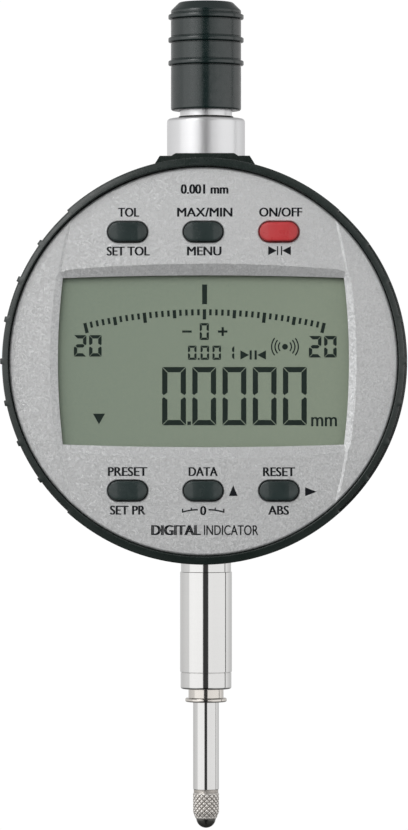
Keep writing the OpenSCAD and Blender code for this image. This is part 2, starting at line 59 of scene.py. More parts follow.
BEZEL_LOW, BEZEL_HIGH = span("bezel")
DIAL_Z = (BEZEL_LOW.z + BEZEL_HIGH.z) / 2
BEZEL_R = (BEZEL_HIGH.x - BEZEL_LOW.x) / 2
HEAD_REAR, HEAD_FRONT = -BEZEL_HIGH.y, -BEZEL_LOW.y
FACE_LOW, FACE_HIGH = span("face_plate")
FACE_R = (FACE_HIGH.x - FACE_LOW.x) / 2
SEAT_R = FACE_R + 0.2
PLATE_REAR, PLATE_CROWN = -FACE_HIGH.y, -FACE_LOW.y
LENS_FRONT = -span("window_lens")[0].y
GLASS_FRONT = -span("lcd_panel")[0].y
SHANK_LOW, SHANK_HIGH = span("shank")
SPINDLE_LOW, SPINDLE_HIGH = span("spindle")
CAP_LOW, CAP_HIGH = span("lift_cap")
COLLAR_LOW, COLLAR_HIGH = span("upper_collar")
TUBE_LOW, TUBE_HIGH = span("guide_tube")
TIP_LOW, TIP_HIGH = span("contact_point")
BALL_LOW, BALL_HIGH = span("contact_ball")
SLEEVE_LOW, SLEEVE_HIGH = span("wiper_sleeve")

# The face is domed by PLATE_RISE. A band across its middle, between two arcs of BAND_R that
# cross the level axis at BAND_X, lies lower by BAND_DROP and ends in ramps BAND_RAMP wide.
PLATE_RISE = 0.35
BAND_DROP = 0.11
BAND_R = 85
BAND_X = 22.9
BAND_RAMP = 0.4

# The face's rim is rolled back by EDGE_DROP over its last EDGE_ROLL.
EDGE_ROLL = 0.25
EDGE_DROP = 0.12

# The contact point's plain end, and its knurl, which leans inwards over its lowest KNURL_BEND.
NECK_LOW = TIP_HIGH.z - 5
KNURL_LOW = NECK_LOW - 4.35
KNURL_BEND = 0.9
KNURL_LEAN = 0.38


# ---- meshes ----

def dial_point(x, y, depth):
    """A point given in the dial's own frame."""
    return (x, -depth, DIAL_Z + y)


def put_mesh(name, points, faces, body, material, sharp=32, stands_for=()):
    """A smooth-shaded object from points in millimetres, riding on body. Edges of more than
    sharp degrees stay crisp. The object replaces the CAD nodes in stands_for."""
    mesh = bpy.data.meshes.new(name)
    mesh.from_pydata([Vector(p) * MM for p in points], [], faces)
    tidy = bmesh.new()
    tidy.from_mesh(mesh)
    bmesh.ops.remove_doubles(tidy, verts=tidy.verts, dist=1e-7)
    bmesh.ops.recalc_face_normals(tidy, faces=tidy.faces)
    tidy.to_mesh(mesh)
    tidy.free()
    mesh.shade_smooth()
    mesh.set_sharp_from_angle(angle=math.radians(sharp))
    mesh.materials.append(material)
    piece = bpy.data.objects.new(name, mesh)
    bpy.context.scene.collection.objects.link(piece)
    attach(piece, body)
    if stands_for:
        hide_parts(*stands_for)
    return piece


def arc(cx, cy, r, start, end, steps=6):
    """Points along an arc, with angles in degrees."""
    angles = [math.radians(start + (end - start) * i / steps) for i in range(steps + 1)]
    return [(cx + r * math.cos(a), cy + r * math.sin(a)) for a in angles]


def revolve(outline, place, angles):
    """Points and quads of a closed outline turned through angles. outline is a list, or a
    function of the angle that gives one; place turns (radius, height, angle) into a point."""
    rings = [outline(a) if callable(outline) else outline for a in angles]
    count = len(rings[0])
    points = [place(r, h, a) for a, ring in zip(angles, rings) for r, h in ring]
    faces = []
    for i in range(len(angles)):
        here, there = i * count, (i + 1) % len(angles) * count
        for k in range(count):
            j = (k + 1) % count
            faces.append((here + k, there + k, there + j, here + j))
    return points, faces


def round_spindle(r, h, a):
    """A point at a radius, height and angle about the spindle's axis."""
    return (r * math.cos(a), r * math.sin(a), h)


def round_dial(r, h, a):
    """A point at a radius, depth and angle about the dial's axis."""
    return dial_point(r * math.cos(a), r * math.sin(a), h)


def full_turn(steps):
    return [2 * math.pi * i / steps for i in range(steps)]


def supported(outline):
    """The outline with a point close to each end of its long straight runs, which keeps the
    smooth shading of the curves beside them from spreading along them."""
    long_run, near = 0.6, 0.04
    points = []
    for (r0, h0), (r1, h1) in zip(outline, outline[1:] + outline[:1]):
        points.append((r0, h0))
        length = math.hypot(r1 - r0, h1 - h0)
        if length > long_run:
            for share in (near / length, 1 - near / length):
                points.append((r0 + (r1 - r0) * share, h0 + (h1 - h0) * share))
    return points


def lathe(name, outline, body, material, steps=128, stands_for=()):
    """A piece turned about the spindle's axis from an outline of (radius, height) points."""
    points, faces = revolve(supported(outline), round_spindle, full_turn(steps))
    put_mesh(name, points, faces, body, material, stands_for=stands_for)


def plates(name, loops, material, low, high):
    """Thin solid plates on the head with the given convex outlines, between depths low and
    high, which are numbers or functions of x and y."""
    points, faces = [], []
    for loop in loops:
        base, n = len(points), len(loop)
        for level in (low, high):
            points += [dial_point(x, y, level(x, y) if callable(level) else level) for x, y in loop]
        faces.append([base + k for k in range(n)])
        faces.append([base + n + k for k in reversed(range(n))])
        faces += [(base + k, base + (k + 1) % n, base + n + (k + 1) % n, base + n + k)
                  for k in range(n)]
    put_mesh(name, points, faces, "head", material)


# ---- materials ----

# The colour sockets of a Mix node, whose names it shares with its other kinds of socket.
MIX_FIRST, MIX_SECOND, MIX_RESULT = 6, 7, 2


def shader_of(material):
    return material.node_tree.nodes["Principled BSDF"]


def new_material(name, colour, roughness=0.5, metallic=0.0, **sockets):
    material = bpy.data.materials.new(name)
    material.use_nodes = True
    shader = shader_of(material)
    shader.inputs["Base Color"].default_value = (*colour, 1)
    shader.inputs["Roughness"].default_value = roughness
    shader.inputs["Metallic"].default_value = metallic
    for socket, value in sockets.items():
        shader.inputs[socket.replace("_", " ")].default_value = value
    return material


def add_node(owner, kind, **values):
    """Adds a node to the tree of a material or the world, and sets its inputs or properties."""
    node = owner.node_tree.nodes.new(kind)
    for key, value in values.items():
        if key in node.inputs:
            node.inputs[key].default_value = value
        else:
            setattr(node, key, value)
    return node


def wire(owner, start, end):
    owner.node_tree.links.new(start, end)


def position(material, stretch=(1, 1, 1)):
    """The surface's own coordinates in millimetres, times stretch."""
    place = add_node(material, "ShaderNodeTexCoord")
    scale = add_node(material, "ShaderNodeMapping")
    scale.inputs["Scale"].default_value = [s / MM for s in stretch]
    wire(material, place.outputs["Object"], scale.inputs["Vector"])
    return scale.outputs["Vector"]


def noise(material, size, stretch=(1, 1, 1), detail=2.0):
    """Noise from 0 to 1 with features of the given size in millimetres."""
    texture = add_node(material, "ShaderNodeTexNoise", Scale=1 / size, Detail=detail)
    wire(material, position(material, stretch), texture.inputs["Vector"])
    return texture.outputs["Fac"]


def spread(owner, value, low, high, start=0.3, end=0.7):
    """Maps a value between start and end to the range low to high. Noise lies in 0.3 to 0.7."""
    node = add_node(owner, "ShaderNodeMapRange")
    for socket, number in zip(("From Min", "From Max", "To Min", "To Max"), (start, end, low, high)):
        node.inputs[socket].default_value = number
    wire(owner, value, node.inputs["Value"])
    return node.outputs["Result"]


def tint(material, value, first, second):
    """Mixes two colours by value and puts the mix on the shader's base colour."""
    mix = add_node(material, "ShaderNodeMix", data_type="RGBA")
    mix.inputs[MIX_FIRST].default_value = (*first, 1)
    mix.inputs[MIX_SECOND].default_value = (*second, 1)
    wire(material, value, mix.inputs[0])
    wire(material, mix.outputs[MIX_RESULT], shader_of(material).inputs["Base Color"])


def roughen(material, value, low, high):
    wire(material, spread(material, value, low, high), shader_of(material).inputs["Roughness"])


def bump(material, value, height, strength=1.0):
    """Height in millimetres."""
    node = add_node(material, "ShaderNodeBump", Strength=strength, Distance=height * MM)
    wire(material, value, node.inputs["Height"])
    wire(material, node.outputs["Normal"], shader_of(material).inputs["Normal"])


def moulded(name, colour, roughness=0.3, grain=0.35, shine=0.5, lift=0.006):
    """Moulded plastic: a fine satin grain of the given lift, with slight cloudiness."""
    material = new_material(name, colour, IOR=1.55, Specular_IOR_Level=shine)
    lighter = [c * 1.18 + 0.001 for c in colour]
    tint(material, spread(material, noise(material, 4.0, detail=3), 0, 1), colour, lighter)
    roughen(material, noise(material, grain * 3), roughness - 0.05, roughness + 0.06)
    bump(material, noise(material, grain, detail=3), lift)
    return material


def turned(name, colour, roughness, along=(0.02, 0.02, 1), pitch=0.12, height=0.00005, metallic=1.0):
    """Turned or ground metal, with fine marks along the directions where along is small."""
    material = new_material(name, colour, metallic=metallic)
    marks = noise(material, pitch, along, detail=4)
    darker = [c * 0.985 for c in colour]
    tint(material, spread(material, marks, 0, 1), colour, darker)
    roughen(material, noise(material, pitch * 4, along), roughness * 0.94, roughness * 1.06)
    bump(material, marks, height)
    return material


def rubber(name, colour):
    material = new_material(name, colour)
    roughen(material, noise(material, 0.8), 0.6, 0.8)
    bump(material, noise(material, 0.25), 0.01)
    return material


def lacquer():
    """Silver lacquer with fine metal flakes, each tilted a little its own way and with its own
    shade. Its colour is painted darker where the face slopes than where it is flat: painted shade."""
    flake_size, flake_tilt = 0.2, 0.2
    slope_weights = (1.25, 0, 1.4)
    flake_dark_and_painted_shade, bright = (0.52, 0.53, 0.535), (0.97, 0.975, 0.975)
    material = new_material("silver_lacquer", bright, 0.42, 0.72)
    flakes = add_node(material, "ShaderNodeTexVoronoi", Scale=1 / flake_size)
    wire(material, position(material), flakes.inputs["Vector"])
    centred = add_node(material, "ShaderNodeVectorMath", operation="SUBTRACT")
    centred.inputs[1].default_value = (0.5, 0.5, 0.5)
    wire(material, flakes.outputs["Color"], centred.inputs[0])
    tilted = add_node(material, "ShaderNodeVectorMath", operation="SCALE")
    tilted.inputs["Scale"].default_value = flake_tilt
    wire(material, centred.outputs[0], tilted.inputs[0])
    surface = add_node(material, "ShaderNodeNewGeometry")
    leaning = add_node(material, "ShaderNodeVectorMath", operation="ADD")
    wire(material, surface.outputs["Normal"], leaning.inputs[0])
    wire(material, tilted.outputs[0], leaning.inputs[1])
    upright = add_node(material, "ShaderNodeVectorMath", operation="NORMALIZE")
    wire(material, leaning.outputs[0], upright.inputs[0])
    wire(material, upright.outputs[0], shader_of(material).inputs["Normal"])
    sideways = add_node(material, "ShaderNodeVectorMath", operation="MULTIPLY")
    sideways.inputs[1].default_value = slope_weights
    wire(material, surface.outputs["Normal"], sideways.inputs[0])
    painted_shade_slope = add_node(material, "ShaderNodeVectorMath", operation="LENGTH")
    wire(material, sideways.outputs[0], painted_shade_slope.inputs[0])
    split = add_node(material, "ShaderNodeSeparateColor")
    wire(material, flakes.outputs["Color"], split.inputs[0])
    # Painted shade: the base colour darkens where the face slopes, on top of each flake's own tone.
    shade = add_node(material, "ShaderNodeMath", operation="ADD")
    wire(material, spread(material, split.outputs[0], 0.64, 0.95, 0, 1), shade.inputs[0])
    wire(material, spread(material, painted_shade_slope.outputs["Value"], 0, -0.7, 0.1, 0.55), shade.inputs[1])
    tint(material, shade.outputs[0], flake_dark_and_painted_shade, bright)
    return material


def knurled():
    """The contact point's steel, with painted shade in the grooves of its knurl."""
    painted_pit_shade, clean = (0.24, 0.21, 0.18), (0.97, 0.93, 0.88)
    material = new_material("knurled_steel", clean, metallic=0.78)
    place = add_node(material, "ShaderNodeTexCoord")
    level = add_node(material, "ShaderNodeVectorMath", operation="MULTIPLY")
    level.inputs[1].default_value = (1, 1, 0)
    wire(material, place.outputs["Object"], level.inputs[0])
    reach = add_node(material, "ShaderNodeVectorMath", operation="LENGTH")
    wire(material, level.outputs[0], reach.inputs[0])
    split = add_node(material, "ShaderNodeSeparateXYZ")
    wire(material, place.outputs["Object"], split.inputs[0])
    # The knurl's lean is added back to the radius, so that depth is measured from its surface.
    bend_low, bend_top = KNURL_LOW * MM, (KNURL_LOW + KNURL_BEND) * MM
    lean = spread(material, split.outputs["Z"], KNURL_BEND * KNURL_LEAN * MM, 0, bend_low, bend_top)
    straight = add_node(material, "ShaderNodeMath", operation="ADD")
    wire(material, reach.outputs["Value"], straight.inputs[0])
    wire(material, lean, straight.inputs[1])
    outer = (TIP_HIGH.x - TIP_LOW.x) / 2 * MM
    # Painted shade: the steel is coloured darker the deeper a point lies in the knurl's grooves.
    painted_pit_shade_mask = spread(material, straight.outputs[0], 0, 1, outer - 0.14 * MM, outer - 0.04 * MM)
    tint(material, painted_pit_shade_mask, painted_pit_shade, clean)
    roughen(material, noise(material, 0.3), 0.3, 0.44)
    return material


def liquid_crystal():
    """The grey-green reflector behind the display, faintly mottled, with painted light paler to the right.
    """
    dark, pale = (0.222, 0.271, 0.215), (0.286, 0.332, 0.252)
    reach = 21
    material = new_material("lcd_reflector", pale, 0.6, Specular_IOR_Level=0.1)
    split = add_node(material, "ShaderNodeSeparateXYZ")
    wire(material, position(material), split.inputs[0])
    shade = add_node(material, "ShaderNodeMath", operation="ADD")
    # Painted light: the colour grows paler from left to right across the display.
    wire(material, spread(material, split.outputs["X"], 0.1, 0.6, -reach, reach), shade.inputs[0])
    wire(material, spread(material, noise(material, 0.35, detail=4), 0, 0.4), shade.inputs[1])
    tint(material, shade.outputs[0], dark, pale)
    bump(material, noise(material, 0.2), 0.004)
    return material


def window_clear():
    material = new_material("clear_window", (0.1, 0.12, 0.11), Alpha=0.05, IOR=1.5)
    roughen(material, noise(material, 6), 0.04, 0.09)
    return material


def board():
    dark, pale = (0.015, 0.1, 0.045), (0.03, 0.17, 0.08)
    material = new_material("solder_mask", pale, 0.35)
    tint(material, spread(material, noise(material, 1.2, detail=5), 0, 1), dark, pale)
    bump(material, noise(material, 0.5), 0.01)
    return material


bezel_plastic = moulded("bezel_plastic", (0.011, 0.017, 0.015), 0.26, lift=0.002, shine=0.6)
housing_plastic = moulded("housing_plastic", (0.009, 0.014, 0.012), 0.26, lift=0.003)
cap_plastic = moulded("cap_plastic", (0.004, 0.012, 0.0115), 0.24, lift=0.0006, shine=0.82)
key_grey = moulded("key_grey", (0.019, 0.029, 0.028), 0.24, lift=0.002)
key_red = moulded("key_red", (0.41, 0.031, 0.035), 0.3, lift=0.002)
silver_face = lacquer()
reflector = liquid_crystal()
clear = window_clear()
segment_ink = moulded("segment_ink", (0.009, 0.016, 0.013), 0.5, shine=0.05)
legend_ink = moulded("legend_ink", (0.006, 0.007, 0.009), 0.5, shine=0.15)
ground_steel = turned("ground_steel", (0.8, 0.795, 0.785), 0.06)
knurl_steel = knurled()
satin_nickel = turned("satin_nickel", (0.9, 0.9, 0.91), 0.3, pitch=0.1, height=0.00001, metallic=0.82)
carbide = turned("carbide", (0.2, 0.2, 0.185), 0.26)
screw_steel = turned("screw_steel", (0.42, 0.43, 0.44), 0.32, (1, 0.05, 1))
spring_steel = turned("spring_steel", (0.6, 0.6, 0.6), 0.28)
bronze = turned("sintered_bronze", (0.5, 0.34, 0.15), 0.4)
arm_alloy = turned("machined_alloy", (0.62, 0.63, 0.64), 0.34, (1, 0.05, 0.05))
gold = turned("contact_gold", (0.8, 0.6, 0.25), 0.25)
cell_steel = turned("cell_steel", (0.72, 0.72, 0.71), 0.22, (1, 0.05, 1))
black_rubber = rubber("black_rubber", (0.012, 0.012, 0.012))
mat_rubber = rubber("silicone_grey", (0.22, 0.23, 0.24))
warm_steel = turned("warm_steel", (0.8, 0.76, 0.71), 0.12)
chip_black = moulded("chip_epoxy", (0.014, 0.014, 0.016), 0.5)
polyimide = moulded("polyimide", (0.5, 0.22, 0.03), 0.35)
solder_mask = board()
scale_glass = new_material("scale_glass", (0.35, 0.5, 0.52))
roughen(scale_glass, noise(scale_glass, 1.5), 0.05, 0.2)

CARRIED = {
    housing_plastic: ("rear_housing", "back_cover", "battery_lid", "head_back", "port_plug"),
    black_rubber: ("cover_gasket", "wiper_seal", "stop_buffer", "collar_seal", "friction_ring", "lid_seal"),
    screw_steel: ("cover_screws", "shank_nut", "collar_screw", "rail_screws", "sensor_screws", "stop_pin",
                  "spring_pin", "arm_screw", "guide_pin", "head_screws", "tact_switches"),
    spring_steel: ("retaining_ring", "measuring_spring"),
    bronze: ("lower_bush", "upper_bush", "cap_insert"),
    arm_alloy: ("guide_rail", "guide_arm", "stop_collar"),
    chip_black: ("reader_chip", "data_socket", "board_chips", "lcd_frame"),
    solder_mask: ("sensor_board", "main_board"),
    polyimide: ("flex_cable",),
    cell_steel: ("battery",),
    gold: ("battery_contacts",),
    scale_glass: ("measuring_scale",),
    mat_rubber: ("zebra_strips", "keypad_mats"),
    clear: ("window_lens",),
    reflector: ("lcd_panel",),
}
for finish, names in CARRIED.items():
    for name in names:
        nodes[name].data.materials.clear()
        nodes[name].data.materials.append(finish)


# ---- pieces turned round the spindle ----

def make_cap():
    """The lifting cap: three gripping rings, each between two fine grooves, and a chamfered top."""
    r = 5.4
    ring_r = (CAP_HIGH.x - CAP_LOW.x) / 2
    outline = [(4.1, CAP_LOW.z + 0.05), (4.15, CAP_LOW.z)]
    outline += arc(r - 0.35, CAP_LOW.z + 0.35, 0.35, -90, 0)
    top_ring, ring_pitch = 2.25, 3.55
    for step in (2, 1, 0):
        z = CAP_HIGH.z - top_ring - ring_pitch * step
        outline += [(r, z - 0.6), (r - 0.1, z - 0.54), (r - 0.1, z - 0.46), (r + 0.02, z - 0.42)]
        outline += arc(ring_r - 0.17, z - 0.19, 0.17, -90, 0, 4)
        outline += arc(ring_r - 0.17, z + 0.19, 0.17, 0, 90, 4)
        outline += [(r + 0.02, z + 0.42), (r - 0.06, z + 0.46), (r - 0.06, z + 0.52), (r, z + 0.58)]
    top = CAP_HIGH.z
    outline += arc(r - 0.4, top - 1.42, 0.4, 0, 42, 4)
    outline += arc(r - 1.45, top - 0.4, 0.4, 48, 90, 4)
    outline += [(0.02, top), (0.02, top - 1), (2.4, top - 1), (2.4, top - 2.6), (4.1, top - 2.6)]
    lathe("cap_body", outline, "plunger", cap_plastic, stands_for=("lift_cap",))


def make_collar():
    """The collar above the head, hollow below and with a rounded top edge."""
    r = (COLLAR_HIGH.x - COLLAR_LOW.x) / 2
    low, high = COLLAR_LOW.z, COLLAR_HIGH.z
    outline = [(4, low), (4.9, low), (4.9, low + 3.2), (r, low + 3.2)]
    outline += [(r, high - 0.62)] + arc(r - 0.5, high - 0.5, 0.5, 5, 85, 6) + [(r - 0.62, high)]
    outline += [(4.02, high), (4, high - 0.02)]
    lathe("collar_body", outline, "housing", satin_nickel, stands_for=("upper_collar",))


def make_guide_tube():
    r = (TUBE_HIGH.x - TUBE_LOW.x) / 2
    outline = [(2.6, TUBE_LOW.z), (r, TUBE_LOW.z), (r, TUBE_HIGH.z - 0.3), (r - 0.3, TUBE_HIGH.z),
               (2.6, TUBE_HIGH.z)]
    lathe("tube_body", outline, "housing", satin_nickel, stands_for=("guide_tube",))


def make_shank():
    """The clamping shank, with the relief above it and the stepped end below."""
    r = (SHANK_HIGH.x - SHANK_LOW.x) / 2
    end, low, high, top = SHANK_LOW.z, SHANK_LOW.z + 2.6, -(SHANK_LOW.z + 2.6), SHANK_HIGH.z
    outline = [(2.7, end + 0.05), (2.75, end), (r - 0.45, end)]
    outline += arc(r - 0.38, end + 0.3, 0.3, -80, 0, 5)
    outline += [(r - 0.08, low - 0.1), (r - 0.2, low - 0.07), (r - 0.2, low), (r - 0.04, low + 0.02),
                (r, low + 0.06), (r, high - 0.06), (r - 0.04, high), (r - 0.125, high + 0.02),
                (r - 0.125, top), (3, top), (3, low + 1.2), (2.7, low + 1.2)]
    lathe("shank_body", outline, "housing", ground_steel, stands_for=("shank",))


def make_sleeve():
    r = (SLEEVE_HIGH.x - SLEEVE_LOW.x) / 2
    low, high = SLEEVE_LOW.z, SLEEVE_HIGH.z
    outline = [(2.1, low + 0.04), (2.14, low)] + arc(r - 0.2, low + 0.2, 0.2, -85, 0, 5)
    outline += arc(r - 0.2, low + 0.4, 0.2, 0, 85, 5)
    outline += [(2.75, low + 0.6), (2.7, low + 0.66), (2.7, high), (2.1, high), (2.1, low + 1.6),
                (2.4, low + 1.6), (2.4, low + 0.8), (2.1, low + 0.8)]
    lathe("sleeve_body", outline, "housing", warm_steel, stands_for=("wiper_sleeve",))


def make_spindle():
    r = (SPINDLE_HIGH.x - SPINDLE_LOW.x) / 2
    low, high = SPINDLE_LOW.z, SPINDLE_HIGH.z
    outline = [(1.05, low), (r - 0.1, low), (r, low + 0.1), (r, high - 1.7), (r - 0.1, high - 1.6),
               (1.25, high - 1.6), (1.25, high - 0.1), (1.15, high), (0.02, high), (0.02, low + 5.5),
               (1.05, low + 5.5)]
    lathe("spindle_body", outline, "plunger", ground_steel, steps=96, stands_for=("spindle",))


def make_contact_point():
    """The contact point: a plain neck, a diamond knurl and a nose rolled over the ball."""
    r = (TIP_HIGH.x - TIP_LOW.x) / 2
    ball = (BALL_LOW + BALL_HIGH) / 2
    knurl_top = NECK_LOW - 0.6
    teeth, rows, groove_depth, flank = 15, 5, 0.17, 2.8
    steps = teeth * 14

    def knurl(z, a):
        """How deep the grooves lie at a height and angle. They fade out at both ends."""
        t = (z - KNURL_LOW) / (knurl_top - KNURL_LOW)
        u, v = teeth * a / (2 * math.pi), rows * t
        from_groove = [abs(((u + s * v) % 1) - 0.5) * 2 for s in (1, -1)]
        depth = max(0.0, 1 - min(from_groove) * flank)
        fade = min(1, max(0, t) * 12, max(0, 1 - t) * 16)
        return groove_depth * depth * fade

    def outline(a):
        points = [(0.02, TIP_HIGH.z), (1.05, TIP_HIGH.z), (1.05, NECK_LOW), (r - 0.1, NECK_LOW),
                  (r - 0.1, knurl_top + 0.1)]
        count = 46
        for i in range(count + 1):
            z = knurl_top + (KNURL_LOW - knurl_top) * i / count
            bend = max(0.0, KNURL_LOW + KNURL_BEND - z)
            points.append((r - bend * KNURL_LEAN - knurl(z, a), z))
        points += [(1.5, KNURL_LOW - 0.16), (1.38, KNURL_LOW - 0.24), (1.3, KNURL_LOW - 0.26),
                   (0.02, ball.z + 1.2)]
        return points

    points, faces = revolve(outline, round_spindle, full_turn(steps))
    put_mesh("contact_body", points, faces, "plunger", knurl_steel, 60, ("contact_point",))
    radius = (BALL_HIGH.z - BALL_LOW.z) / 2
    sphere = [(max(0.02, x), z) for x, z in arc(0, ball.z, radius, -90, 90, 40)]
    lathe("ball_body", sphere, "plunger", carbide, steps=64, stands_for=("contact_ball",))


# ---- the head ----

def make_bezel():
    """The bezel ring. Two zones at its sides are recessed, and narrow ribs stand in them. Its
    front is a shallow crown from a small outer corner to the edge of the face."""
    zone, pitch, rib_half, blend, recess = 48.0, 12.0, 0.75, 0.16, 0.38
    steps = 240
    flange_top, corner_r = 9.05, 0.25
    crown_r_full, crown_r_drop, lean, crest = 5.54, 2.28, 68, 78

    def recess_at(a):
        """How much of the recess there is at an angle: 0 on ribs and outside the zones, else 1."""
        side = math.degrees(a) % 180
        side = side - 180 if side > 90 else side
        if abs(side) >= zone:
            return 0.0
        into = zone - abs(side)
        off_rib = abs((side + pitch / 2) % pitch - pitch / 2) - rib_half
        if abs(side) > zone - pitch / 2:
            off_rib = into
        return min(1.0, max(0.0, min(into, off_rib) / blend))

    angles = set(round(360 * i / steps, 4) for i in range(steps))
    for middle in (0, 180):
        for k in range(-3, 4):
            for edge in (-rib_half - blend, -rib_half, rib_half, rib_half + blend):
                angles.add(round((middle + k * pitch + edge) % 360, 4))
        for edge in (-zone, -zone + blend, zone - blend, zone):
            angles.add(round((middle + edge) % 360, 4))
    angles = [math.radians(a) for a in sorted(angles)]

    def outline(a):
        body_r = BEZEL_R - 0.14 - recess * recess_at(a)
        points = [(29.6, HEAD_REAR)]
        points += arc(BEZEL_R - 0.3, HEAD_REAR + 0.3, 0.3, -90, 0, 4)
        points += arc(BEZEL_R - 0.12, flange_top - 0.17, 0.12, 0, 75, 3)
        points += [(body_r + 0.06, flange_top), (body_r, flange_top + 0.07)]
        crown_r = crown_r_full - crown_r_drop * recess_at(a)
        crown_x = SEAT_R + 0.12 - crown_r * math.cos(math.radians(crest))
        crown_z = HEAD_FRONT - crown_r * math.sin(math.radians(crest))
        reach = crown_r - corner_r
        corner_x = crown_x + reach * math.cos(math.radians(lean))
        corner_z = crown_z + reach * math.sin(math.radians(lean))
        points += arc(corner_x, corner_z, corner_r, 4, lean, 5)[:-1]
        points += arc(crown_x, crown_z, crown_r, lean, crest, 5)
        points += [(SEAT_R + 0.05, HEAD_FRONT - 0.02), (SEAT_R, HEAD_FRONT - 0.09), (SEAT_R, PLATE_REAR),
                   (28, PLATE_REAR), (28, 12.6), (29.2, 12.6), (29.2, 8.6), (29.6, 8.6)]
        return points

    points, faces = revolve(outline, round_dial, angles)
    put_mesh("bezel_body", points, faces, "head", bezel_plastic, 28, ("bezel",))


def barrel(half_w, half_h, bulge_x, bulge_y, steps=24):
    """A rectangle whose sides bulge outwards, anticlockwise from its lower left corner."""
    ts = [-1 + 2 * i / steps for i in range(steps)]
    return ([(half_w * t, -half_h - bulge_y * (1 - t * t)) for t in ts]
            + [(half_w + bulge_x * (1 - t * t), half_h * t) for t in ts]
            + [(-half_w * t, half_h + bulge_y * (1 - t * t)) for t in ts]
            + [(-half_w - bulge_x * (1 - t * t), -half_h * t) for t in ts])


def stadium(cx, cy, width, height, steps=12):
    """An outline with straight top and bottom and half-round ends, anticlockwise."""
    r, reach = height / 2, (width - height) / 2
    return arc(cx + reach, cy, r, -90, 90, steps) + arc(cx - reach, cy, r, 90, 270, steps)


def circle(cx, cy, r, steps):
    return arc(cx, cy, r, 0, 360 * (steps - 1) / steps, steps - 1)


WINDOW_INNER = barrel(21.2, 12.55, 0.75, 0.4)
WINDOW_OUTER = barrel(22.05, 13.65, 1.05, 1.05)

# The keys' width and height, the distance between their columns, and each row's from the middle.
KEY_W, KEY_H, KEY_PITCH, KEY_ROW = 5.8, 2.85, 11.4, 19.5
# Each key's column and row, counted from the dial's middle.
KEY_PLACES = {(-1, 1): "mode", (0, 1): "hold", (1, 1): "power",
              (-1, -1): "set", (0, -1): "data", (1, -1): "zero"}


def key_outline(col, row, grow):
    """A key's stadium in the dial's frame, wider and higher by grow."""
    return stadium(col * KEY_PITCH, row * KEY_ROW, KEY_W + grow, KEY_H + grow)


def band_edge(y):
    """The right-hand edge of the face's middle band, at a height y."""
    return BAND_X - BAND_R + math.sqrt(BAND_R ** 2 - y * y)


def face_height(x, y):
    """Depth of the silver face's front: a shallow dome with a lowered middle band."""
    into_band = (band_edge(y) - abs(x)) / BAND_RAMP
    drop = BAND_DROP * min(1.0, max(0.0, into_band))
    rolled = EDGE_DROP * max(0.0, (math.hypot(x, y) - FACE_R + EDGE_ROLL) / EDGE_ROLL) ** 2
    return PLATE_CROWN - PLATE_RISE * (math.hypot(x, y) / FACE_R) ** 2 - drop - rolled


def inside(loop, x, y):
    """True if the point lies in the polygon."""
    hit = False
    for (x0, y0), (x1, y1) in zip(loop, loop[1:] + loop[:1]):
        if (y0 > y) != (y1 > y) and x < (x1 - x0) * (y - y0) / (y1 - y0) + x0:
            hit = not hit
    return hit


